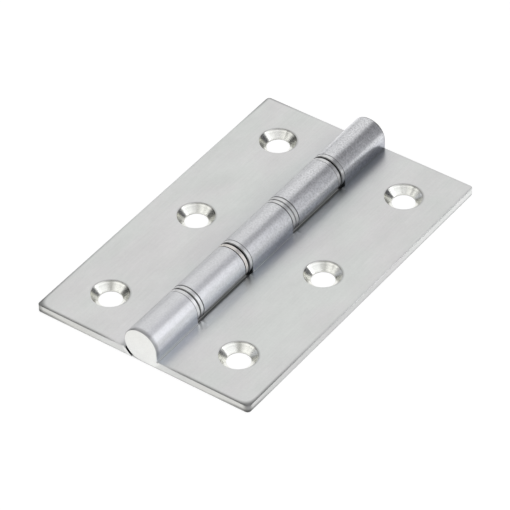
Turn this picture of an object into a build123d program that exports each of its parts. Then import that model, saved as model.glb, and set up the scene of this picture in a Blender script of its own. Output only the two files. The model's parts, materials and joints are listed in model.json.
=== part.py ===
from build123d import *
from math import radians, sqrt, tan
import os

# Washered butt hinge: two leaves on one pin, with a pair of washers in each joint of the barrel.
# Frame: X across the leaves, Y along the pin, Z up. The backs of the leaves lie on Z = 0.

# Driving dimensions, in millimetres
leaf_length = 102.0
open_width = 67.0
leaf_thickness = 2.2
corner_radius = 1.0
edge_ease = 0.15

knuckle_diameter = 10.2
near_knuckle_extra = -0.6
far_knuckle_extra = 0.9
knuckle_ease = 0.12
root_radius = 0.15

pin_diameter = 5.5
running_clearance = 0.05

washer_thickness = 1.2
washer_setback = 0.05
washer_ease = 0.2
tight_seam = 0.02
fine_seam = 0.18
open_seam = 0.45

notch_clearance = 0.7
notch_toe = 0.3

hole_count = 3
hole_diameter = 6.4
hole_from_end = 13.85
hole_from_edge = 13.1
hole_land = 0.25
countersink_angle = 90.0

# Which knuckles, counted from the near end, belong to which leaf
fixed_knuckles = (0, 2, 4)
swinging_knuckles = (1, 3)

# The seams of each joint, from the near end: knuckle to washer, washer to washer, washer to knuckle
joint_seams = (
    (tight_seam, fine_seam, fine_seam),
    (fine_seam, open_seam, tight_seam),
    (fine_seam, tight_seam, fine_seam),
    (tight_seam, open_seam, tight_seam),
)

# Places along the pin and across the leaf
leaf_width = open_width / 2
near_end = -leaf_length / 2
far_end = leaf_length / 2
hole_pitch = (leaf_length - 2 * hole_from_end) / (hole_count - 1)
hole_from_pin = leaf_width - hole_from_edge

# The barrel and what turns in it
knuckle_count = len(fixed_knuckles) + len(swinging_knuckles)
joints_length = sum(sum(seams) + 2 * washer_thickness for seams in joint_seams)
end_extras = near_knuckle_extra + far_knuckle_extra
knuckle_length = (leaf_length - joints_length - end_extras) / knuckle_count
knuckle_radius = knuckle_diameter / 2
pin_radius = pin_diameter / 2
pin_height = knuckle_radius
pin_axis = Axis((0, 0, pin_height), (0, -1, 0))
running_bore = pin_radius + running_clearance
washer_radius = knuckle_radius - washer_setback

# The leaf's section beside the barrel
root_width = knuckle_radius + root_radius
root_top = leaf_thickness + root_radius
notch_radius = knuckle_radius + notch_clearance
notch_toe_x = sqrt(notch_radius**2 - (pin_height - notch_toe) ** 2)
countersink_depth = leaf_thickness - hole_land
countersink_radius = hole_diameter / 2 + countersink_depth * tan(radians(countersink_angle / 2))


def barrel_layout():
    """Lays the knuckles end to end along the pin, with each washer from its seat to its free face."""
    knuckles = []
    washers = []
    start = near_end
    end = near_end + near_knuckle_extra
    for to_washer, between, to_knuckle in joint_seams:
        end += knuckle_length
        knuckles.append((start, end))
        first = end + to_washer
        second = first + washer_thickness + between
        start = second + washer_thickness + to_knuckle
        washers.append((first, first + washer_thickness))
        washers.append((second + washer_thickness, second))
        end = start
    knuckles.append((start, far_end))
    return knuckles, washers


knuckles, washers = barrel_layout()


def across(y):
    """The plane of a section across the pin, at a place along it."""
    return Plane.XZ.offset(-y)


def rod(start, end, radius):
    """A plain rod about the pin axis, between two places along it."""
    with BuildPart() as turned:
        with BuildSketch(across(start)):
            with Locations((0, pin_height)):
                Circle(radius)
        extrude(amount=start - end)
    return turned.part


def knuckle(start, end):
    """One knuckle with its root: round over the pin, and square down to the leaf on the leaf's own side."""
    with BuildPart() as body:
        with BuildSketch(across(start)):
            with BuildLine():
                CenterArc((0, pin_height), knuckle_radius, 0, 270)
                Polyline((0, 0), (root_width, 0), (root_width, leaf_thickness))
                RadiusArc((root_width, leaf_thickness), (knuckle_radius, root_top), root_radius)
                Line((knuckle_radius, root_top), (knuckle_radius, pin_height))
            make_face()
        extrude(amount=start - end)
    return body.part


def rim_cutter(face, outward):
    """What is taken off the rim of a knuckle's inner face: round the barrel, then down to the root."""
    with BuildPart() as cutter:
        with BuildSketch(Plane.XY.offset(pin_height)) as corner:
            with BuildLine():
                Polyline(
                    (knuckle_radius - 2 * knuckle_ease, face + outward * knuckle_ease),
                    (knuckle_radius + knuckle_ease, face + outward * knuckle_ease),
                    (knuckle_radius + knuckle_ease, face - outward * 2 * knuckle_ease),
                    close=True,
                )
            make_face()
        revolve(axis=pin_axis, revolution_arc=270)
        extrude(corner.sketch, amount=root_top - pin_height)
    return cutter.part


def notch(start, end):
    """The hollow in a leaf's edge that clears a knuckle of the other leaf, with a blunt toe at the back."""
    with BuildPart() as hollow:
        with BuildSketch(across(start)):
            with Locations((0, pin_height)):
                Circle(notch_radius)
            with Locations((0, notch_toe / 2)):
                Rectangle(2 * notch_toe_x, notch_toe)
        extrude(amount=start - end)
    return hollow.part


def free_spans(own):
    """The stretches of a leaf's edge that its own knuckles leave free."""
    marks = [near_end]
    for number in own:
        marks.extend(knuckles[number])
    marks.append(far_end)
    return [(start, end) for start, end in zip(marks[::2], marks[1::2]) if end > start]


def edges_to_ease(body):
    """The upper outer edges of a leaf: its free side, its ends and its end knuckles."""
    touching = 0.001
    chosen = []
    for edge in body.edges():
        size = edge.bounding_box().size
        middle = edge @ 0.5
        is_top = size.Z < touching and abs(middle.Z - leaf_thickness) < touching
        is_above = middle.Z > leaf_thickness and not edge.is_closed
        on_end = size.Y < touching and far_end - abs(middle.Y) < touching
        on_free_side = middle.X > leaf_width - corner_radius + touching
        if (on_end and (is_top or is_above)) or (on_free_side and is_top):
            chosen.append(edge)
    return chosen


def leaf(own, bore_radius):
    """A leaf that lies on the +X side, with the knuckles whose numbers are given."""
    with BuildPart() as body:
        with BuildSketch():
            with Locations((leaf_width / 2, 0)):
                Rectangle(leaf_width, leaf_length)
        extrude(amount=leaf_thickness)
        fillet(body.edges().filter_by(Axis.Z).group_by(Axis.X)[-1], corner_radius)
        for start, end in free_spans(own):
            add(notch(start, end), mode=Mode.SUBTRACT)
        for number in own:
            start, end = knuckles[number]
            add(knuckle(start, end))
            if start > near_end:
                add(rim_cutter(start, -1), mode=Mode.SUBTRACT)
            if end < far_end:
                add(rim_cutter(end, 1), mode=Mode.SUBTRACT)
        chamfer(edges_to_ease(body), edge_ease)
        add(rod(near_end, far_end, bore_radius), mode=Mode.SUBTRACT)
        with Locations((hole_from_pin, 0, leaf_thickness)):
            with GridLocations(hole_pitch, hole_pitch, 1, hole_count):
                CounterSinkHole(
                    hole_diameter / 2,
                    countersink_radius,
                    depth=leaf_thickness,
                    counter_sink_angle=countersink_angle,
                )
    return body.part


def hinge_pin():
    """The pin, flush with both ends of the barrel."""
    return rod(near_end, far_end, pin_radius)


def washer(seat, free):
    """One washer, from the knuckle that it seats on to its free face, whose outer rim is eased."""
    with BuildPart() as body:
        add(rod(seat, free, washer_radius))
        rims = body.edges().filter_by(GeomType.CIRCLE)
        chamfer(rims.sort_by_distance((0, free, pin_height))[0], washer_ease)
        add(rod(seat, free, running_bore), mode=Mode.SUBTRACT)
    return body.part


pieces = {
    "three_knuckle_leaf": leaf(fixed_knuckles, pin_radius),
    "two_knuckle_leaf": leaf(swinging_knuckles, running_bore).mirror(Plane.YZ),
    "hinge_pin": hinge_pin(),
}
for number, (seat, free) in enumerate(washers, 1):
    pieces[f"washer_{number}"] = washer(seat, free)

os.makedirs("parts", exist_ok=True)
for name, piece in pieces.items():
    export_step(piece, f"parts/{name}.step")
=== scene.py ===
import json
import logging
import math
from abc import ABC, abstractmethod
from dataclasses import dataclass
from enum import Enum
from functools import cached_property

import bpy
from mathutils import Matrix, Vector

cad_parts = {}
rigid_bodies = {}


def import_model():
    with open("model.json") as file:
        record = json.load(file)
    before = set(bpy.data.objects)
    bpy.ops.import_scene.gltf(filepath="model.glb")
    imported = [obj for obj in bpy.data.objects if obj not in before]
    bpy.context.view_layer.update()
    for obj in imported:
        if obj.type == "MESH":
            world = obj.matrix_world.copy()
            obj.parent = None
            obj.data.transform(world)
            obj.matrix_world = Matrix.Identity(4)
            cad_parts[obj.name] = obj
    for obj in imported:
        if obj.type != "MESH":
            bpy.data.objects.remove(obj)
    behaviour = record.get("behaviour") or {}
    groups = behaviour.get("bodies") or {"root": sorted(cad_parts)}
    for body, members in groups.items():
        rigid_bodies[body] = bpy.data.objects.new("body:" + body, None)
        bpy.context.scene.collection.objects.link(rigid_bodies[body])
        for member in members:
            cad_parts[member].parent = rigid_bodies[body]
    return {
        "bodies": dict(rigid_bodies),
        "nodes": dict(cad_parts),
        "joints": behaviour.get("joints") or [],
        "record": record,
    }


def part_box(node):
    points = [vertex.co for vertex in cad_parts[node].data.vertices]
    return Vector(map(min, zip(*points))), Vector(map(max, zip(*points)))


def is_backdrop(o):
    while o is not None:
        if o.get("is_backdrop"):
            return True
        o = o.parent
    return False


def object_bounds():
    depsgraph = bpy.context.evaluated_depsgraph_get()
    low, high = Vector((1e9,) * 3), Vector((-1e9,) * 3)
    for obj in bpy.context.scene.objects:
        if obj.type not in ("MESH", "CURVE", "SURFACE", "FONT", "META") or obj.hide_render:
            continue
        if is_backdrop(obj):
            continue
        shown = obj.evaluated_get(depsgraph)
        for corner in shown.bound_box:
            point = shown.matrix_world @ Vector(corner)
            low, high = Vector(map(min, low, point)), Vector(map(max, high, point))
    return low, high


# The looks of a washered butt hinge: satin chrome leaves on a flush pin, with bright washers in the barrel.
# Lengths are in metres in the frame of the hinge, and in millimetres inside the materials.

log = logging.getLogger("washered_butt_hinge")

MM = 0.001
PER_METRE = 1.0 / MM
TOUCHING = 0.01 * MM
IMAGE_SIDE = 510
WASHER_PREFIX = "washer_"

Colour = tuple[float, float, float]
Place = tuple[float, float, float]
Socket = bpy.types.NodeSocket
Shade = tuple[float, float, float, float] | Socket

WHITE: Colour = (1.0, 1.0, 1.0)


class Grain(Enum):
    """The way the fine marks of a tool run on the metal.

    Each value is the size of a mark along X, Y and Z, in millimetres.
    """

    ALONG_PIN = (0.30, 9.0, 0.30)
    ROUND_PIN = (4.0, 0.12, 4.0)


@dataclass(frozen=True)
class Fade:
    """A soft step from nothing at one value to all at another, which may be below the first."""

    start: float
    end: float

    def past(self, origin: float) -> "Fade":
        """Gives the step with its two values counted from an origin."""
        return Fade(origin + self.start, origin + self.end)

    def times(self, length: float) -> "Fade":
        """Gives the step with its two values taken as shares of a length."""
        return Fade(self.start * length, self.end * length)


# How far the painted light and shade of the near end reach along the hinge, in millimetres,
# and how much a face has to look up to count as an upper face
NEAR_END_REACH = 55.0
UPPER_FACE = Fade(0.5, 0.8)


def opaque(colour: Colour) -> tuple[float, float, float, float]:
    """Gives a colour as a shader's socket takes it, with nothing showing through."""
    return (*colour, 1.0)


class NodeSheet:
    """Adds and joins the nodes of one material or world."""

    noise_middle = 0.5
    noise_roughness = 0.6
    ray_samples = 8

    def __init__(self, tree: bpy.types.NodeTree) -> None:
        """Starts from an empty tree."""
        tree.nodes.clear()
        self.tree = tree

    def add(self, kind: str, inputs: dict | None = None, **settings: object) -> bpy.types.Node:
        """Adds one node.

        Args:
            kind: The node's type, without the part that all shader nodes share.
            inputs: What goes into its sockets, by name or number: a plain value or another node's socket.
            settings: The node's own options.

        Returns:
            The new node.
        """
        node = self.tree.nodes.new(f"ShaderNode{kind}")
        for option, value in settings.items():
            setattr(node, option, value)
        for socket, value in (inputs or {}).items():
            if isinstance(value, Socket):
                self.tree.links.new(value, node.inputs[socket])
            else:
                node.inputs[socket].default_value = value
        return node

    def math(self, operation: str, *values: float | Socket) -> Socket:
        """Works out one number from others, by the named operation."""
        return self.add("Math", dict(enumerate(values)), operation=operation).outputs[0]

    def product(self, first: Socket, *others: float | Socket) -> Socket:
        """Multiplies any count of numbers."""
        result = first
        for other in others:
            result = self.math("MULTIPLY", result, other)
        return result

    def vector(self, operation: str, *values: Place | Socket, out: str = "Vector") -> Socket:
        """Works out one vector, or its length, from others, by the named operation."""
        return self.add("VectorMath", dict(enumerate(values)), operation=operation).outputs[out]

    def reach(self, x: float | Socket, y: float | Socket) -> Socket:
        """Measures how long the straight way is that goes x to one side and y to the other."""
        flat = self.add("CombineXYZ", {"X": x, "Y": y}).outputs["Vector"]
        return self.vector("LENGTH", flat, out="Value")

    def ramp(self, value: Socket, fade: Fade, low: float = 0.0, high: float = 1.0) -> Socket:
        """Turns a number into another that goes smoothly from low to high over a fade.

        Args:
            value: The number that is read.
            fade: Where the change starts and ends.
            low: The result at the start and before it.
            high: The result at the end and after it.

        Returns:
            The socket of the result.
        """
        flipped = fade.start > fade.end
        inputs = {
            "Value": value,
            "From Min": fade.end if flipped else fade.start,
            "From Max": fade.start if flipped else fade.end,
            "To Min": high if flipped else low,
            "To Max": low if flipped else high,
        }
        return self.add("MapRange", inputs, interpolation_type="SMOOTHSTEP").outputs["Result"]

    def noise(self, place: Socket, cell: Place, detail: float = 2.0) -> Socket:
        """Gives an even noise from 0 to 1 whose cells have the given size along X, Y and Z, in millimetres.

        Args:
            place: The place on the surface, in millimetres.
            cell: The size of a cell of the noise.
            detail: How many finer layers are added.

        Returns:
            The socket of the noise.
        """
        scaled = self.vector("MULTIPLY", place, tuple(1.0 / side for side in cell))
        inputs = {"Vector": scaled, "Scale": 1.0, "Detail": detail, "Roughness": self.noise_roughness}
        return self.add("TexNoise", inputs, normalize=True).outputs["Fac"]

    def swing(self, noise: Socket) -> Socket:
        """Gives a noise as what it has above or below its middle."""
        return self.math("SUBTRACT", noise, self.noise_middle)

    def mix(self, share: float | Socket, first: float | Socket, second: float | Socket) -> Socket:
        """Mixes two numbers: all of the first at a share of 0, all of the second at 1."""
        inputs = {0: share, 2: first, 3: second}
        return self.add("Mix", inputs, data_type="FLOAT").outputs[0]

    def toned(self, share: Socket, tone: float | Socket) -> Socket:
        """Gives a brightness that is 1 at a share of 0, and the tone at a share of 1."""
        return self.mix(share, 1.0, tone)

    def blend(self, share: Socket, first: Shade, second: Shade) -> Socket:
        """Mixes two colours: all of the first at a share of 0, all of the second at 1."""
        return self.add("Mix", {0: share, 6: first, 7: second}, data_type="RGBA").outputs[2]

    def tinted(self, brightness: Socket, tint: Colour | Socket) -> Socket:
        """Gives the tint at the given brightness."""
        node = self.add("VectorMath", {0: tint, "Scale": brightness}, operation="SCALE")
        return node.outputs["Vector"]

    def place(self) -> Socket:
        """Gives the place on the piece, in millimetres."""
        return self.vector("MULTIPLY", self.add("TexCoord").outputs["Object"], (PER_METRE,) * 3)

    def openness(self, reach: float) -> Socket:
        """Gives a number from 0 in a tight crevice to 1 in the open, within a reach in millimetres."""
        inputs = {"Distance": reach * MM}
        return self.add("AmbientOcclusion", inputs, samples=self.ray_samples).outputs["AO"]

    def eased(self, radius: float | Socket) -> Socket:
        """Gives the normal of a piece whose edges are softened by a radius in metres."""
        return self.add("Bevel", {"Radius": radius}, samples=self.ray_samples).outputs["Normal"]

    def relief(self, height: Socket, normal: Socket) -> Socket:
        """Adds a fine relief, with its height in millimetres, to a surface with the given normal."""
        metres = self.math("MULTIPLY", height, MM)
        inputs = {"Strength": 1.0, "Distance": 1.0, "Height": metres, "Normal": normal}
        return self.add("Bump", inputs).outputs["Normal"]

    def metal(self, colour: Socket, roughness: Socket, normal: Socket) -> None:
        """Ends the tree in a metal surface."""
        inputs = {"Base Color": colour, "Metallic": 1.0, "Roughness": roughness, "Normal": normal}
        shader = self.add("BsdfPrincipled", inputs)
        self.add("OutputMaterial", {"Surface": shader.outputs["BSDF"]})


def new_material(name: str) -> tuple[bpy.types.Material, NodeSheet]:
    """Makes a material with an empty sheet of nodes."""
    made = bpy.data.materials.new(name)
    made.use_nodes = True
    return made, NodeSheet(made.node_tree)


@dataclass(frozen=True)
class HingeSizes:
    """The sizes of the hinge that its finishes follow, in millimetres."""

    pin_height: float
    barrel_radius: float
    leaf_width: float
    half_length: float
    leaf_top: float
    hole_from_pin: float
    hole_pitch: float
    countersink_radius: float
    joints: tuple[float, ...]

    @classmethod
    def from_frame(cls, frame: dict, flat_from: float = 0.9) -> "HingeSizes":
        """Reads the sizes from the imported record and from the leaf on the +X side.

        Args:
            flat_from: The share of the leaf's width past which only its flat is left.

        Returns:
            The sizes.
        """
        pin_height = frame["joints"][0]["pos_m"][2]
        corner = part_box("three_knuckle_leaf")[1]
        points = [vertex.co for vertex in frame["nodes"]["three_knuckle_leaf"].data.vertices]
        leaf_top = max(point.z for point in points if point.x > flat_from * corner.x)
        holes = next(m for m in frame["record"]["mounts"] if m["kind"] == "bolt_pattern")
        middle = Vector((abs(holes["pos_m"][0]), 0.0, leaf_top))
        rim = min((point - middle).length for point in points if abs(point.z - leaf_top) < TOUCHING)
        boxes = [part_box(name) for name in frame["nodes"] if name.startswith(WASHER_PREFIX)]
        washers = sorted((low.y + high.y) / 2 for low, high in boxes)
        pairs = zip(washers[::2], washers[1::2])
        return cls(
            pin_height=pin_height * PER_METRE,
            barrel_radius=(corner.z - pin_height) * PER_METRE,
            leaf_width=corner.x * PER_METRE,
            half_length=corner.y * PER_METRE,
            leaf_top=leaf_top * PER_METRE,
            hole_from_pin=middle.x * PER_METRE,
            hole_pitch=holes["dims"]["spacing_y_mm"],
            countersink_radius=rim * PER_METRE,
            joints=tuple((first + second) / 2 * PER_METRE for first, second in pairs),
        )


class HingePlaces:
    """Tells a material where on the hinge it is: distances in millimetres, and shares from 0 to 1."""

    knuckle_skin = Fade(0.9, 0.3)
    knuckle_side = Fade(0.95, 0.5)
    rim_edge = Fade(0.05, -0.05)
    off_back = Fade(-0.6, -0.3)
    far_half = Fade(0.0, 0.8)
    right_from = 0.3
    off_ends = Fade(0.7, 0.4)
    joint_face = Fade(0.35, 0.85)
    joint_from_end = Fade(0.2, 0.5)
    joint_depth = Fade(1.2, 0.8)

    def __init__(self, sheet: NodeSheet, sizes: HingeSizes) -> None:
        """Reads the place and the way that the surface faces.

        Args:
            sheet: The material's nodes.
            sizes: The sizes of the hinge.
        """
        self.sheet = sheet
        self.sizes = sizes
        self.place = sheet.place()
        parts = sheet.add("SeparateXYZ", {0: self.place}).outputs
        self.across = parts["X"]
        self.along = parts["Y"]
        self.height = parts["Z"]
        normal = sheet.add("SeparateXYZ", {0: sheet.add("TexCoord").outputs["Normal"]}).outputs
        self.leaning = normal["X"]
        self.facing = normal["Z"]
        self.crosswise = sheet.math("ABSOLUTE", normal["Y"])

    @cached_property
    def aside(self) -> Socket:
        """How far the place is from the plane through the pin that parts the leaves."""
        return self.sheet.math("ABSOLUTE", self.across)

    @cached_property
    def from_end(self) -> Socket:
        """How far the place is from the nearer end of the hinge."""
        return self.sheet.math("SUBTRACT", self.sizes.half_length, self.sheet.math("ABSOLUTE", self.along))

    @cached_property
    def from_side(self) -> Socket:
        """How far the place is from the free side of its leaf."""
        return self.sheet.math("SUBTRACT", self.sizes.leaf_width, self.aside)

    @cached_property
    def from_corner(self) -> Socket:
        """How far the place is from the nearest corner of its leaf, along the longer way."""
        return self.sheet.math("MAXIMUM", self.from_side, self.from_end)

    @cached_property
    def from_pin(self) -> Socket:
        """How far the place is from the pin's axis."""
        return self.sheet.reach(self.across, self.sheet.math("SUBTRACT", self.height, self.sizes.pin_height))

    @cached_property
    def from_root(self) -> Socket:
        """How far the place is from the line where the barrel meets the upper face of its leaf."""
        up = self.sheet.math("SUBTRACT", self.height, self.sizes.leaf_top)
        out = self.sheet.math("SUBTRACT", self.aside, self.sizes.barrel_radius)
        return self.sheet.reach(out, up)

    @cached_property
    def past_hole(self) -> Socket:
        """How far along the pin the place is past the middle of the nearest screw hole."""
        pitch = self.sizes.hole_pitch
        shifted = self.sheet.math("ADD", self.along, pitch / 2)
        return self.sheet.math("SUBTRACT", self.along, self.sheet.math("SNAP", shifted, pitch))

    @cached_property
    def from_hole(self) -> Socket:
        """How far the place is from the middle of the nearest screw hole."""
        beside = self.sheet.math("SUBTRACT", self.aside, self.sizes.hole_from_pin)
        return self.sheet.reach(beside, self.past_hole)

    @cached_property
    def on_barrel(self) -> Socket:
        """1 on the round of the knuckles, 0 on the flat of the leaves and on the ends."""
        skin = self.sheet.ramp(self.from_pin, self.knuckle_skin.past(self.sizes.barrel_radius))
        return self.sheet.product(skin, self.sheet.ramp(self.crosswise, self.knuckle_side))

    @cached_property
    def in_countersink(self) -> Socket:
        """1 inside a countersink, 0 on the flat of a leaf and on its back."""
        share = self.sheet.ramp(self.from_hole, self.rim_edge.past(self.sizes.countersink_radius))
        return self.sheet.product(share, self.sheet.ramp(self.facing, self.off_back))

    @cached_property
    def at_far_right(self) -> Socket:
        """1 at the far corner of the leaf on the +X side, fading towards the rest of the hinge."""
        far = self.sheet.ramp(self.along, self.far_half.times(self.sizes.half_length))
        right = Fade(self.right_from * self.sizes.leaf_width, self.sizes.hole_from_pin)
        return self.sheet.product(far, self.sheet.ramp(self.across, right))

    @cached_property
    def in_notch(self) -> Socket:
        """1 on the side where the other leaf is hollowed for a knuckle, 0 elsewhere and on the ends."""
        side = self.across
        for joint in self.sizes.joints:
            side = self.sheet.math("MULTIPLY", side, self.sheet.math("SUBTRACT", self.along, joint))
        hollowed = self.sheet.math("LESS_THAN", side, 0.0)
        return self.sheet.product(hollowed, self.sheet.ramp(self.crosswise, self.off_ends))

    @cached_property
    def in_joint(self) -> Socket:
        """1 on the faces across the pin that look into the joints of the barrel, 0 elsewhere."""
        return self.sheet.product(
            self.sheet.ramp(self.crosswise, self.joint_face),
            self.sheet.ramp(self.from_end, self.joint_from_end),
            self.sheet.ramp(self.from_pin, self.joint_depth.past(self.sizes.barrel_radius)),
        )

    def inset(self, corner: Socket) -> Socket:
        """Measures how far the place is inside the outline, with the corners drawn in by a soft radius."""
        return self.sheet.math("SMOOTH_MIN", self.from_side, self.from_end, corner)

    def nearness(self, reach: float, far_share: float = 0.0) -> Socket:
        """Goes from 1 at the near end of the hinge to a smaller share at a reach from it."""
        return self.sheet.ramp(self.along, Fade(0.0, reach).past(-self.sizes.half_length), 1.0, far_share)


class PaintedLightLayer(ABC):
    """A kind of painted light or shade that changes the brightness of the metal."""

    @abstractmethod
    def tone(self, sheet: NodeSheet, spot: HingePlaces) -> Socket:
        """Gives the brightness that is left, where 1 is the metal without painted light or shade.

        Args:
            sheet: The material's nodes.
            spot: Where on the hinge the place is.

        Returns:
            The socket of the brightness.
        """


@dataclass(frozen=True)
class DarkEdgeReflections(PaintedLightLayer):
    """The outer upper edges and corners of the leaves, with a painted dark reflection, most at the near end.
    """

    edge_tone: float = 0.44
    corner_tone: float = 0.32
    corner_radius: float = 5.0
    corner_reach: Fade = Fade(20.0, 0.0)
    edge_width: Fade = Fade(1.0, -0.1)
    upward: Fade = Fade(0.1, 0.5)
    from_barrel: Fade = Fade(1.0, 9.0)
    barrel_share: float = 0.12
    far_share: float = 0.08

    def tone(self, sheet: NodeSheet, spot: HingePlaces) -> Socket:
        """Paints a dark reflection on the edges, and most on the corners.

        Args:
            sheet: The material's nodes.
            spot: Where on the hinge the place is.

        Returns:
            The socket of the brightness that is left.
        """
        near = spot.nearness(NEAR_END_REACH, self.far_share)
        corner = sheet.ramp(spot.from_corner, self.corner_reach)
        corner = sheet.product(corner, sheet.mix(spot.at_far_right, 1.0, self.far_share))
        inset = spot.inset(sheet.product(near, self.corner_radius))
        # Where the painted dark reflection lies on the edges and corners.
        share = sheet.product(
            sheet.ramp(inset, self.edge_width),
            sheet.math("MAXIMUM", near, corner),
            sheet.ramp(spot.facing, self.upward),
            sheet.ramp(spot.aside, self.from_barrel.past(spot.sizes.barrel_radius), self.barrel_share),
        )
        return sheet.toned(share, sheet.mix(corner, self.edge_tone, self.corner_tone))


@dataclass(frozen=True)
class DarkEndRimReflections(PaintedLightLayer):
    """The upper rims of the barrel's ends, with a painted dark reflection, with their widths in millimetres.
    """

    rim_tone: float = 0.54
    near_width: float = 1.6
    far_width: float = 0.6
    depth: Fade = Fade(1.0, 0.2)
    skin: Fade = Fade(-0.9, -0.2)
    off_face: Fade = Fade(0.95, 0.8)

    def tone(self, sheet: NodeSheet, spot: HingePlaces) -> Socket:
        """Paints a dark reflection on the round of the barrel beside each end, above the leaf.

        Args:
            sheet: The material's nodes.
            spot: Where on the hinge the place is.

        Returns:
            The socket of the brightness that is left.
        """
        width = sheet.mix(spot.nearness(NEAR_END_REACH), self.far_width, self.near_width)
        # Where the painted dark reflection lies beside each end.
        share = sheet.product(
            sheet.ramp(sheet.math("DIVIDE", spot.from_end, width), self.depth),
            sheet.ramp(spot.from_pin, self.skin.past(spot.sizes.barrel_radius)),
            sheet.ramp(spot.crosswise, self.off_face),
            sheet.ramp(spot.height, Fade(spot.sizes.leaf_top, spot.sizes.pin_height)),
        )
        return sheet.toned(share, self.rim_tone)


@dataclass(frozen=True)
class ShadedSides(PaintedLightLayer):
    """The sides of the leaves, which the shears cut, with painted shade on them and a darker line of painted
    shade at the foot.
    """

    end_tone: float = 0.83
    side_tone: float = 0.79
    shade_line_tone: float = 0.78
    corner_shade_line_tone: float = 0.32
    shade_line_height: float = 0.7
    corner_shade_line_height: float = 1.3
    corner_reach: Fade = Fade(16.0, 0.0)
    foot: Fade = Fade(1.0, 0.3)
    tip: Fade = Fade(2.2, 0.6)
    tip_tone: float = 0.44
    upright: Fade = Fade(0.5, 0.2)
    off_barrel: Fade = Fade(1.0, 2.0)
    far_share: float = 0.08

    def tone(self, sheet: NodeSheet, spot: HingePlaces) -> Socket:
        """Paints shade on the sides and their foot, but none on the far right corner above the foot.

        Args:
            sheet: The material's nodes.
            spot: Where on the hinge the place is.

        Returns:
            The socket of the brightness that is left.
        """
        corner = sheet.ramp(spot.from_corner, self.corner_reach)
        corner = sheet.product(corner, spot.nearness(NEAR_END_REACH, self.far_share))
        shade_line = sheet.mix(corner, self.shade_line_tone, self.corner_shade_line_tone)
        sides = sheet.mix(spot.crosswise, self.side_tone, self.end_tone)
        sides = sheet.mix(spot.at_far_right, sides, 1.0)
        shade_line_height = sheet.mix(corner, self.shade_line_height, self.corner_shade_line_height)
        foot = sheet.ramp(sheet.math("DIVIDE", spot.height, shade_line_height), self.foot)
        tip = sheet.ramp(spot.from_corner, self.tip, 1.0, self.tip_tone)
        tip = sheet.mix(spot.at_far_right, tip, 1.0)
        upright = sheet.ramp(sheet.math("ABSOLUTE", spot.facing), self.upright)
        off_barrel = sheet.ramp(spot.from_pin, self.off_barrel.past(spot.sizes.barrel_radius))
        # Painted shade on the sides, darker in a line at the foot and at the near corner's tip.
        tone = sheet.product(sheet.mix(foot, sides, shade_line), tip)
        return sheet.toned(sheet.product(upright, off_barrel), tone)


@dataclass(frozen=True)
class ShadedJoints(PaintedLightLayer):
    """Painted shade inside the barrel and its joints, and in the line where a knuckle meets its leaf."""

    joint_shade_tone: float = 0.10
    near_root_tone: float = 0.65
    far_root_tone: float = 0.80
    depth: Fade = Fade(-0.4, -0.8)
    off_end: Fade = Fade(0.1, 0.4)
    to_root: Fade = Fade(0.45, 0.15)

    def tone(self, sheet: NodeSheet, spot: HingePlaces) -> Socket:
        """Paints shade on what lies inside the barrel, and on the root of each knuckle.

        Args:
            sheet: The material's nodes.
            spot: Where on the hinge the place is.

        Returns:
            The socket of the brightness that is left.
        """
        # Painted shade inside the barrel and its joints, and at each knuckle's root.
        deep = sheet.product(
            sheet.ramp(spot.from_pin, self.depth.past(spot.sizes.barrel_radius)),
            sheet.ramp(spot.from_end, self.off_end),
        )
        inside = sheet.toned(sheet.math("MAXIMUM", deep, spot.in_joint), self.joint_shade_tone)
        root_tone = sheet.mix(spot.nearness(NEAR_END_REACH), self.far_root_tone, self.near_root_tone)
        root = sheet.toned(sheet.ramp(spot.from_root, self.to_root), root_tone)
        return sheet.product(inside, root)


@dataclass(frozen=True)
class DarkenedHoleRims(PaintedLightLayer):
    """Painted shade just inside the rim of each countersink on its far side, and a darker ring outside the
    rim, except on its near side.
    """

    shade_line_tone: float = 0.60
    shade_line: Fade = Fade(-0.36, -0.14)
    far_side: Fade = Fade(0.2, 0.8)
    halo_tone: float = 0.66
    halo: Fade = Fade(0.55, 0.0)
    off_near_side: Fade = Fade(-0.6, 0.0)

    def tone(self, sheet: NodeSheet, spot: HingePlaces) -> Socket:
        """Paints shade just inside the far side of a hole's rim, and darkens the halo on all but its near
        side.

        Args:
            sheet: The material's nodes.
            spot: Where on the hinge the place is.

        Returns:
            The socket of the brightness that is left.
        """
        rim = spot.sizes.countersink_radius
        # Painted shade just inside the far side of the rim.
        shade_line = sheet.product(
            sheet.ramp(spot.from_hole, self.shade_line.past(rim)),
            sheet.ramp(spot.past_hole, self.far_side.times(rim)),
            spot.in_countersink,
        )
        halo = sheet.product(
            sheet.ramp(spot.from_hole, self.halo.past(rim)),
            sheet.ramp(spot.past_hole, self.off_near_side.times(rim)),
            sheet.ramp(spot.facing, UPPER_FACE),
            sheet.math("SUBTRACT", 1.0, spot.in_countersink),
        )
        return sheet.product(sheet.toned(shade_line, self.shade_line_tone), sheet.toned(halo, self.halo_tone))


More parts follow.
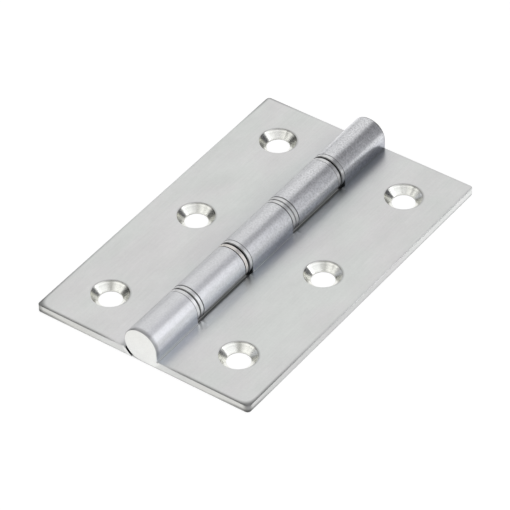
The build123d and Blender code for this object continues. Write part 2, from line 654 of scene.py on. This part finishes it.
@dataclass(frozen=True)
class SlotShade(PaintedLightLayer):
    """Painted shade in the slot between a knuckle and the other leaf, and along the barrel's left flank,
    with painted light on the low part of the knuckle.
    """

    under_tone: float = 0.34
    under: Fade = Fade(-0.34, -0.50)
    off_foot: Fade = Fade(-0.98, -0.9)
    low_tone: float = 1.28
    low: Fade = Fade(0.05, -0.15)
    hollow_tone: float = 0.50
    below_top: Fade = Fade(-0.05, -0.4)
    hollow_inner: Fade = Fade(0.3, 0.5)
    hollow_outer: Fade = Fade(0.95, 0.8)
    lip_tone: float = 0.60
    lip: Fade = Fade(2.6, 0.4)
    at_top: Fade = Fade(0.1, 0.0)
    flank_tone: float = 0.90
    flank: Fade = Fade(-0.42, -0.58)
    before_last_joint: Fade = Fade(0.0, -4.0)

    def tone(self, sheet: NodeSheet, spot: HingePlaces) -> Socket:
        """Paints shade on the slot and its lip, and paints light on the low part of the knuckle that the
        leaf lights.

        Args:
            sheet: The material's nodes.
            spot: Where on the hinge the place is.

        Returns:
            The socket of the brightness that is left.
        """
        barrel = spot.sizes.barrel_radius
        top = spot.sizes.leaf_top
        # Painted shade in the slot and along the flank, and painted light on the knuckle's low part.
        knuckle = sheet.product(spot.on_barrel, spot.in_notch)
        under = sheet.product(
            sheet.ramp(spot.facing, self.under),
            sheet.ramp(spot.facing, self.off_foot),
            knuckle,
        )
        low = sheet.product(sheet.ramp(spot.facing, self.low), knuckle)
        hollow = sheet.product(
            sheet.ramp(spot.height, self.below_top.past(top)),
            sheet.ramp(spot.from_pin, self.hollow_inner.past(barrel)),
            sheet.ramp(spot.from_pin, self.hollow_outer.past(barrel)),
            spot.in_notch,
        )
        lip = sheet.product(
            sheet.ramp(spot.aside, self.lip.past(barrel)),
            sheet.ramp(spot.facing, UPPER_FACE),
            sheet.ramp(spot.height, self.at_top.past(top)),
            spot.in_notch,
        )
        flank = sheet.product(
            sheet.ramp(spot.leaning, self.flank),
            sheet.ramp(spot.along, self.before_last_joint.past(spot.sizes.joints[-1])),
            spot.on_barrel,
        )
        return sheet.product(
            sheet.toned(under, self.under_tone),
            sheet.toned(low, self.low_tone),
            sheet.toned(hollow, self.hollow_tone),
            sheet.toned(lip, self.lip_tone),
            sheet.toned(flank, self.flank_tone),
        )


@dataclass(frozen=True)
class BarrelShade:
    """Painted shade in a cool grey in the narrow places beside the barrel, darkest where they are most
    closed in, and painted light there near the near end, with its reach in millimetres.
    """

    # The colours of the painted shade on the barrel and the leaves, and of the painted light near the near
    # end
    barrel_tint: Colour = (0.555, 0.578, 0.635)
    leaf_shade_tint: Colour = (0.685, 0.708, 0.745)
    near_leaf_light_tint: Colour = (1.03, 1.04, 1.06)
    reach: float = 14.0
    closed: Fade = Fade(1.0, 0.50)
    beside: Fade = Fade(14.0, 6.0)
    own_side: Fade = Fade(-0.45, 0.0)
    notch_side: Fade = Fade(-0.2, 0.1)

    def tint(self, sheet: NodeSheet, spot: HingePlaces) -> Socket:
        """Paints the shade near the barrel, and the light near the near end, but not on the back.

        Args:
            sheet: The material's nodes.
            spot: Where on the hinge the place is.

        Returns:
            The socket of the colour that the metal is multiplied by.
        """
        above = sheet.mix(
            spot.in_notch,
            sheet.ramp(spot.facing, self.own_side),
            sheet.ramp(spot.facing, self.notch_side),
        )
        share = sheet.product(
            sheet.ramp(sheet.openness(self.reach), self.closed),
            sheet.ramp(spot.from_pin, self.beside.past(spot.sizes.barrel_radius)),
            above,
        )
        tint = sheet.blend(spot.nearness(NEAR_END_REACH), opaque(self.leaf_shade_tint), opaque(self.near_leaf_light_tint))
        tint = sheet.blend(spot.on_barrel, tint, opaque(self.barrel_tint))
        return sheet.blend(share, opaque(WHITE), tint)


@dataclass(frozen=True)
class SoftEdges:
    """How far the light sees each edge as rounded, with radii in millimetres."""

    outer: float = 0.55
    in_barrel: float = 0.10
    at_hole: float = 0.30
    off_pin_end: Fade = Fade(0.62, 0.85)
    to_end: Fade = Fade(1.6, 1.2)
    off_root: Fade = Fade(0.3, 0.1)
    beside_barrel: Fade = Fade(1.6, 1.2)
    along_edge: Fade = Fade(1.5, 8.0)
    to_hole: Fade = Fade(1.2, 0.9)

    def radius(self, sheet: NodeSheet, spot: HingePlaces) -> Socket:
        """Works out the radius: wide on the outer edges, fine in the barrel and at the holes.

        Args:
            sheet: The material's nodes.
            spot: Where on the hinge the place is.

        Returns:
            The socket of the radius, in metres.
        """
        barrel = spot.sizes.barrel_radius
        off_root = sheet.ramp(spot.from_pin, self.off_root.past(barrel))
        at_end = sheet.product(
            sheet.ramp(spot.from_end, self.to_end),
            sheet.ramp(spot.from_pin, self.off_pin_end.times(barrel)),
            off_root,
        )
        rims = sheet.product(sheet.mix(at_end, self.in_barrel, self.outer), off_root)
        outer = sheet.ramp(spot.aside, self.along_edge.past(barrel), self.in_barrel, self.outer)
        beside_barrel = sheet.ramp(spot.from_pin, self.beside_barrel.past(barrel))
        at_hole = sheet.ramp(spot.from_hole, self.to_hole.past(spot.sizes.countersink_radius))
        radius = sheet.mix(at_hole, sheet.mix(beside_barrel, outer, rims), self.at_hole)
        return sheet.product(radius, MM)


@dataclass(frozen=True)
class Marks:
    """The noises that draw the marks of the tools."""

    lines: Socket
    specks: Socket
    patches: Socket


@dataclass(frozen=True)
class SatinChrome:
    """Satin chrome on steel: brushed along the pin, grained on the barrel, bright in the countersinks."""

    name: str = "satin_chrome"
    tint: Colour = (0.780, 0.774, 0.772)
    cloud_tint: Colour = (0.764, 0.782, 0.764)
    barrel_tint: Colour = (0.768, 0.773, 0.790)
    turned_tint: Colour = (0.90, 0.90, 0.85)
    faced_tint: Colour = (0.80, 0.797, 0.768)
    grain: Grain = Grain.ALONG_PIN
    speck_cell: Place = (0.48, 0.48, 0.48)
    patch_cell: Place = (9.0, 14.0, 9.0)
    cloud_cell: Place = (16.0, 24.0, 16.0)
    ring_cell: Place = (0.42, 1.0, 1.0)
    fine_detail: float = 3.0
    patch_detail: float = 4.0
    brush_depth: float = 0.0006
    speck_depth: float = 0.0012
    barrel_speck_depth: float = 0.0022
    plain_brightness: float = 0.83
    brush_contrast: float = 0.12
    patch_contrast: float = 0.22
    ring_contrast: float = 0.45
    speck_contrast: float = 0.03
    near_speck_contrast: float = 0.10
    far_speck_contrast: float = 0.38
    speck_steps: Fade = Fade(0.32, 0.68)
    speck_swing: float = 0.5
    cloud_steps: Fade = Fade(0.35, 0.65)
    faced: Fade = Fade(0.9, 0.97)
    faced_end: Fade = Fade(0.5, 0.2)
    flat_roughness: float = 0.30
    barrel_roughness: float = 0.34
    turned_roughness: float = 0.25
    roughness_spread: float = 0.08
    matt_lit_side: Fade = Fade(0.6, 0.0)
    matt_lit_facing: Fade = Fade(0.05, 0.3)
    edge_highlight_tone: float = 1.22
    matt_roughness: float = 0.80
    edges: SoftEdges = SoftEdges()
    barrel_shade: BarrelShade = BarrelShade()
    # The layers of painted light and shade on the metal.
    wear: tuple[PaintedLightLayer, ...] = (
        DarkEdgeReflections(),
        DarkEndRimReflections(),
        ShadedSides(),
        ShadedJoints(),
        DarkenedHoleRims(),
        SlotShade(),
    )

    def material(self, sizes: HingeSizes) -> bpy.types.Material:
        """Makes the finish.

        Args:
            sizes: Where the barrel, the edges and the holes are.

        Returns:
            The material, whose pattern stays with the piece that wears it.
        """
        made, sheet = new_material(self.name)
        spot = HingePlaces(sheet, sizes)
        marks = Marks(
            lines=sheet.noise(spot.place, self.grain.value, self.fine_detail),
            specks=sheet.noise(spot.place, self.speck_cell, self.fine_detail),
            patches=sheet.noise(spot.place, self.patch_cell, self.patch_detail),
        )
        # A matt strip along the upper side edges, brightened by a painted highlight.
        matt_lit_edge = sheet.product(
            sheet.ramp(spot.from_side, self.matt_lit_side),
            sheet.ramp(spot.facing, self.matt_lit_facing),
        )
        brightness = sheet.product(self.brightness(sheet, spot, marks), sheet.toned(matt_lit_edge, self.edge_highlight_tone))
        # Paints the light and shade of each layer into the brightness.
        for layer in self.wear:
            brightness = sheet.product(brightness, layer.tone(sheet, spot))
        # Paints shade beside the barrel, and light near the near end, into the colour.
        colour = sheet.vector("MULTIPLY", self.colour(sheet, spot), self.barrel_shade.tint(sheet, spot))
        roughness = sheet.mix(spot.on_barrel, self.flat_roughness, self.barrel_roughness)
        roughness = sheet.mix(spot.in_countersink, roughness, self.turned_roughness)
        spread = sheet.swing(marks.patches)
        roughness = sheet.math("MULTIPLY_ADD", spread, self.roughness_spread, roughness)
        roughness = sheet.mix(matt_lit_edge, roughness, self.matt_roughness)
        sheet.metal(sheet.tinted(brightness, colour), roughness, self.normal(sheet, spot, marks))
        return made

    def brightness(self, sheet: NodeSheet, spot: HingePlaces, marks: Marks) -> Socket:
        """Draws the brush lines, the turned rings, the specks and the patches of the clean metal.

        Args:
            sheet: The material's nodes.
            spot: Where on the hinge the place is.
            marks: The noises.

        Returns:
            The socket of the brightness.
        """
        brightness = sheet.math("MULTIPLY_ADD", marks.lines, self.brush_contrast, self.plain_brightness)
        outward = sheet.add("CombineXYZ", {"X": spot.from_hole}).outputs["Vector"]
        rings = sheet.product(sheet.swing(sheet.noise(outward, self.ring_cell)), spot.in_countersink)
        brightness = sheet.math("MULTIPLY_ADD", rings, self.ring_contrast, brightness)
        near = spot.nearness(2 * spot.sizes.half_length)
        contrast = sheet.mix(near, self.far_speck_contrast, self.near_speck_contrast)
        contrast = sheet.mix(spot.on_barrel, self.speck_contrast, contrast)
        specks = sheet.ramp(marks.specks, self.speck_steps, -self.speck_swing, self.speck_swing)
        brightness = sheet.math("MULTIPLY_ADD", specks, contrast, brightness)
        return sheet.math("MULTIPLY_ADD", marks.patches, self.patch_contrast, brightness)

    def colour(self, sheet: NodeSheet, spot: HingePlaces) -> Socket:
        """Gives the tint of the flats, the barrel, the countersinks and the faced ends.

        Args:
            sheet: The material's nodes.
            spot: Where on the hinge the place is.

        Returns:
            The socket of the colour.
        """
        clouds = sheet.ramp(sheet.noise(spot.place, self.cloud_cell, self.fine_detail), self.cloud_steps)
        colour = sheet.blend(clouds, opaque(self.tint), opaque(self.cloud_tint))
        colour = sheet.blend(spot.on_barrel, colour, opaque(self.barrel_tint))
        colour = sheet.blend(spot.in_countersink, colour, opaque(self.turned_tint))
        faced = sheet.product(
            sheet.ramp(spot.crosswise, self.faced),
            sheet.ramp(spot.from_end, self.faced_end),
        )
        return sheet.blend(faced, colour, opaque(self.faced_tint))

    def normal(self, sheet: NodeSheet, spot: HingePlaces, marks: Marks) -> Socket:
        """Gives the surface its soft edges and a fine relief.

        Args:
            sheet: The material's nodes.
            spot: Where on the hinge the place is.
            marks: The noises.

        Returns:
            The socket of the normal.
        """
        speck_depth = sheet.mix(spot.on_barrel, self.speck_depth, self.barrel_speck_depth)
        height = sheet.product(marks.specks, speck_depth)
        height = sheet.math("MULTIPLY_ADD", marks.lines, self.brush_depth, height)
        return sheet.relief(height, sheet.eased(self.edges.radius(sheet, spot)))


@dataclass(frozen=True)
class PlatedBronze:
    """Bronze under a thin bright plating: the washers, marked round the pin by the lathe."""

    name: str = "plated_bronze"
    tint: Colour = (0.786, 0.788, 0.792)
    grain: Grain = Grain.ROUND_PIN
    line_depth: float = 0.0006
    edge_radius: float = 0.06
    plain_brightness: float = 0.93
    line_contrast: float = 0.12
    roughness: float = 0.27
    line_roughness: float = 0.08
    crease_shade_reach: float = 0.5
    crease_shade_tone: float = 0.06
    open_from: Fade = Fade(0.12, 0.55)
    joint_shade_tone: float = 0.12

    def material(self, sizes: HingeSizes) -> bpy.types.Material:
        """Makes the finish.

        Args:
            sizes: Where the barrel is.

        Returns:
            The material.
        """
        made, sheet = new_material(self.name)
        spot = HingePlaces(sheet, sizes)
        lines = sheet.noise(spot.place, self.grain.value)
        relief = sheet.product(lines, self.line_depth)
        # Painted shade where the washer is closed in, and in the joints.
        brightness = sheet.product(
            sheet.math("MULTIPLY_ADD", lines, self.line_contrast, self.plain_brightness),
            sheet.ramp(sheet.openness(self.crease_shade_reach), self.open_from, self.crease_shade_tone),
            sheet.toned(spot.in_joint, self.joint_shade_tone),
        )
        sheet.metal(
            sheet.tinted(brightness, self.tint),
            sheet.math("MULTIPLY_ADD", lines, self.line_roughness, self.roughness),
            sheet.relief(relief, sheet.eased(self.edge_radius * MM)),
        )
        return made


@dataclass
class Leaves:
    """The two leaves, each one piece with its own knuckles."""

    nodes: tuple[str, str] = ("three_knuckle_leaf", "two_knuckle_leaf")

    def dress(self, frame: dict, finish: bpy.types.Material) -> None:
        """Gives both leaves their finish.

        Args:
            finish: The material of the leaves.
        """
        for node in self.nodes:
            wear(frame["nodes"][node], finish)


@dataclass
class Barrel:
    """What turns inside the knuckles: the pin, and a pair of washers in each joint."""

    sizes: HingeSizes
    pin: str = "hinge_pin"
    worn_washers: tuple[str, ...] = ("washer_3",)
    fresh: PlatedBronze = PlatedBronze()
    worn: PlatedBronze = PlatedBronze("worn_bronze", tint=(0.815, 0.783, 0.748))

    def dress(self, frame: dict, pin_finish: bpy.types.Material) -> None:
        """Gives the pin and the washers their finishes.

        Args:
            pin_finish: The material of the pin.
        """
        wear(frame["nodes"][self.pin], pin_finish)
        fresh = self.fresh.material(self.sizes)
        worn = self.worn.material(self.sizes)
        for name, piece in frame["nodes"].items():
            if name.startswith(WASHER_PREFIX):
                wear(piece, worn if name in self.worn_washers else fresh)


def wear(piece: bpy.types.Object, finish: bpy.types.Material) -> None:
    """Puts one finish on every face of a piece, and reports it."""
    for slot in piece.material_slots:
        slot.material = finish
    log.info("dressed %s in %s", piece.name, finish.name)


@dataclass(frozen=True)
class Card:
    """A flat panel of the studio, out of the camera's sight, that shows in the metal."""

    name: str
    towards: Place
    distance: float
    size: tuple[float, float]
    tone: Colour

    def build(self, target: Vector) -> bpy.types.Object:
        """Makes the card, with its face to the target.

        Args:
            target: The point that it faces.

        Returns:
            The card's object.
        """
        ray = Vector(self.towards).normalized()
        card = panel(self.name, rectangle(*self.size), [(0, 1, 2, 3)], self.tone)
        facing = (-ray).to_track_quat("Z", "Y").to_matrix().to_4x4()
        card.matrix_world = Matrix.Translation(target + ray * self.distance) @ facing
        return card


@dataclass(frozen=True)
class Hood:
    """A curved panel about a line along Y, between two angles from +X and two places along Y."""

    name: str
    angles: tuple[float, float]
    along: tuple[float, float]
    tone: Colour
    radius: float = 0.284
    steps: int = 12

    def build(self, target: Vector) -> bpy.types.Object:
        """Makes the hood round the line through the target.

        Args:
            target: A point of the line.

        Returns:
            The hood's object.
        """
        points = []
        for step in range(self.steps + 1):
            angle = math.radians(self.angles[0] + (self.angles[1] - self.angles[0]) * step / self.steps)
            x = self.radius * math.cos(angle)
            z = self.radius * math.sin(angle)
            points += [(x, self.along[0], z), (x, self.along[1], z)]
        faces = [(i, i + 1, i + 3, i + 2) for i in range(0, 2 * self.steps, 2)]
        hood = panel(self.name, points, faces, self.tone)
        hood.location = target
        return hood


def rectangle(width: float, depth: float) -> list[Place]:
    """Gives the corners of a flat rectangle about the origin."""
    x = width / 2
    y = depth / 2
    return [(-x, -y, 0), (x, -y, 0), (x, y, 0), (-x, y, 0)]


def panel(name: str, points: list[Place], faces: list[tuple[int, ...]], tone: Colour) -> bpy.types.Object:
    """Makes a studio panel of one tone that the camera does not see.

    Args:
        name: The panel's name.
        points: Its corners.
        faces: Its faces, as numbers of corners.
        tone: Its colour, where 1 is white.

    Returns:
        The panel's object.
    """
    mesh = bpy.data.meshes.new(name)
    mesh.from_pydata(points, [], faces)
    mesh.materials.append(glow(name, tone))
    made = bpy.data.objects.new(name, mesh)
    made.visible_camera = False
    bpy.context.scene.collection.objects.link(made)
    made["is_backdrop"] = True
    return made


def glow(name: str, tone: Colour) -> bpy.types.Material:
    """Makes the even light of a studio panel.

    Args:
        name: The material's name.
        tone: Its colour, where 1 is white.

    Returns:
        The material.
    """
    made, sheet = new_material(name)
    shader = sheet.add("Emission", {"Color": opaque(tone), "Strength": 1.0})
    sheet.add("OutputMaterial", {"Surface": shader.outputs["Emission"]})
    return made


# Where the parts of the softbox beside the hinge start and end: its angles, and its places along Y
SOFTBOX_ANGLES = (6.0, 51.0)
SOFTBOX_START = -0.20
STRIP_START = 0.12
STRIP_END = 0.175
SOFTBOX_END = 0.206


@dataclass
class Studio:
    """A white table in a pale tent, with dark gaps that give the metal its contrast."""

    tent_tone: float = 0.83
    floor_side: float = 6.0
    floor_drop: float = 0.00005
    floor_glow: float = 0.84
    floor_paint: float = 0.30
    floor_bounce: float = 0.8
    shade_reach: float = 5.0
    shade_tone: float = 0.12
    shade: Fade = Fade(0.25, 0.52)
    gap_radius: float = 1.1
    gap_height: float = 0.16
    gap_tone: Colour = (0.45, 0.45, 0.46)
    gap_sides: int = 48
    cards: tuple[Card | Hood, ...] = (
        Card("zenith_gap", (0.0, 0.0, 1.0), 1.0, (0.36, 0.36), (0.02, 0.02, 0.02)),
        Card("roof_gap", (-0.448, -0.33, 0.83), 0.9, (0.55, 0.55), (0.05, 0.05, 0.05)),
        Card("front_gap", (0.40, -0.53, 0.75), 1.3, (0.70, 0.70), (0.34, 0.34, 0.32)),
        Card("left_gap", (-0.93, -0.16, 0.19), 1.0, (0.95, 0.46), (0.03, 0.03, 0.03)),
        Card("back_gap", (0.30, 0.93, 0.16), 1.0, (0.80, 0.44), (0.60, 0.60, 0.54)),
        Card("left_back_shade", (-0.78, 0.60, 0.06), 1.05, (0.90, 0.34), (0.45, 0.45, 0.46)),
        Card("left_softbox", (-0.45, -0.68, 0.58), 1.1, (0.85, 0.55), (1.12, 1.12, 1.11)),
        Hood("right_softbox", SOFTBOX_ANGLES, (SOFTBOX_START, STRIP_START), (1.03, 1.04, 1.07)),
        Hood("right_softbox_strip", SOFTBOX_ANGLES, (STRIP_START, STRIP_END), (2.05, 2.06, 2.10)),
        Hood("right_softbox_end", SOFTBOX_ANGLES, (STRIP_END, SOFTBOX_END), (0.93, 0.94, 0.98)),
        Hood("right_shade", (56.0, 90.0), (SOFTBOX_START, STRIP_END), (0.84, 0.84, 0.87)),
        Hood("right_shade_end", (54.0, 90.0), (STRIP_END, SOFTBOX_END), (0.38, 0.38, 0.41)),
        Hood("right_gap", (0.0, 90.0), (0.207, 0.70), (0.060, 0.060, 0.070)),
    )

    def build(self, target: Vector) -> None:
        """Sets up the tent, the table and the cards.

        Args:
            target: The middle of the hinge.
        """
        self.build_tent()
        self.build_floor()
        self.build_gap()
        for card in self.cards:
            card.build(target)
        log.info("studio with %d cards", len(self.cards))

    def build_tent(self) -> None:
        """Lights the hinge evenly from all round."""
        world = bpy.data.worlds.new("tent")
        world.use_nodes = True
        sheet = NodeSheet(world.node_tree)
        light = sheet.add("Background", {"Color": opaque((self.tent_tone,) * 3), "Strength": 1.0})
        sheet.add("OutputWorld", {"Surface": light.outputs["Background"]})
        bpy.context.scene.world = world

    def build_floor(self) -> None:
        """Lays the white table, which keeps the hinge's shadow."""
        mesh = bpy.data.meshes.new("floor")
        mesh.from_pydata(rectangle(self.floor_side, self.floor_side), [], [(0, 1, 2, 3)])
        mesh.materials.append(self.table())
        floor = bpy.data.objects.new("floor", mesh)
        floor.location.z = -self.floor_drop
        bpy.context.scene.collection.objects.link(floor)
        floor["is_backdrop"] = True

    def table(self) -> bpy.types.Material:
        """Makes the table's paint, which glows for the camera and the metal, with a painted shadow that
        darkens the glow under and beside the hinge.

        Returns:
            The material.
        """
        made, sheet = new_material("white_table")
        rays = sheet.add("LightPath").outputs
        seen = sheet.math("MAXIMUM", rays["Is Camera Ray"], rays["Is Glossy Ray"])
        seen = sheet.math("MAXIMUM", seen, rays["Is Transmission Ray"])
        paint = sheet.add("BsdfDiffuse", {"Color": opaque((self.floor_paint,) * 3)})
        # The painted shadow in the glow, darkest where the table is closed in.
        shade = sheet.ramp(sheet.openness(self.shade_reach), self.shade, self.shade_tone, self.floor_glow)
        shine = sheet.add("Emission", {"Color": opaque(WHITE), "Strength": shade})
        white = sheet.add("AddShader", {0: paint.outputs[0], 1: shine.outputs[0]})
        plain = sheet.add("BsdfDiffuse", {"Color": opaque((self.floor_bounce,) * 3)})
        both = sheet.add("MixShader", {0: seen, 1: plain.outputs[0], 2: white.outputs[0]})
        sheet.add("OutputMaterial", {"Surface": both.outputs[0]})
        return made

    def build_gap(self) -> None:
        """Leaves a low dark gap between the table and the tent, all round."""
        points = []
        for step in range(self.gap_sides):
            angle = math.tau * step / self.gap_sides
            x = self.gap_radius * math.cos(angle)
            y = self.gap_radius * math.sin(angle)
            points += [(x, y, 0.0), (x, y, self.gap_height)]
        count = len(points)
        faces = [(i, (i + 2) % count, (i + 3) % count, i + 1) for i in range(0, count, 2)]
        panel("tent_gap", points, faces, self.gap_tone)


@dataclass(frozen=True)
class PhotoCamera:
    """The camera at the photograph's viewing angle, with angles in degrees and lengths in millimetres."""

    azimuth: float = 36.825
    elevation: float = 41.658
    roll: float = -1.544
    distance: float = 927.1
    focal_pixels: float = 3552.9
    target: Place = (0.116, -2.002, 0.0)
    sensor: float = 36.0
    nearest: float = 10.0

    def build(self) -> bpy.types.Object:
        """Makes the camera and looks through it.

        Returns:
            The camera's object.
        """
        turn = math.radians(self.azimuth)
        lift = math.radians(self.elevation)
        back = Vector((math.sin(turn) * math.cos(lift), -math.cos(turn) * math.cos(lift), math.sin(lift)))
        right = Vector((math.cos(turn), math.sin(turn), 0.0))
        up = back.cross(right)
        axes = Matrix((right, up, back)).transposed().to_4x4()
        roll = Matrix.Rotation(math.radians(self.roll), 4, "Z")
        eye = (Vector(self.target) + back * self.distance) * MM
        lens = bpy.data.cameras.new("photo_camera")
        lens.sensor_width = self.sensor
        lens.lens = self.focal_pixels * self.sensor / IMAGE_SIDE
        lens.clip_start = self.nearest * MM
        camera = bpy.data.objects.new("photo_camera", lens)
        camera.matrix_world = Matrix.Translation(eye) @ axes @ roll
        bpy.context.scene.collection.objects.link(camera)
        bpy.context.scene.camera = camera
        return camera


def main() -> None:
    """Dresses the hinge and sets up the studio."""
    logging.basicConfig(level=logging.INFO)
    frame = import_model()
    cad_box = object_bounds()
    bpy.context.scene.view_settings.view_transform = "Standard"
    sizes = HingeSizes.from_frame(frame)
    chrome = SatinChrome().material(sizes)
    Leaves().dress(frame, chrome)
    Barrel(sizes).dress(frame, chrome)
    PhotoCamera().build()
    Studio().build((cad_box[0] + cad_box[1]) / 2)


if __name__ == "__main__":
    main()
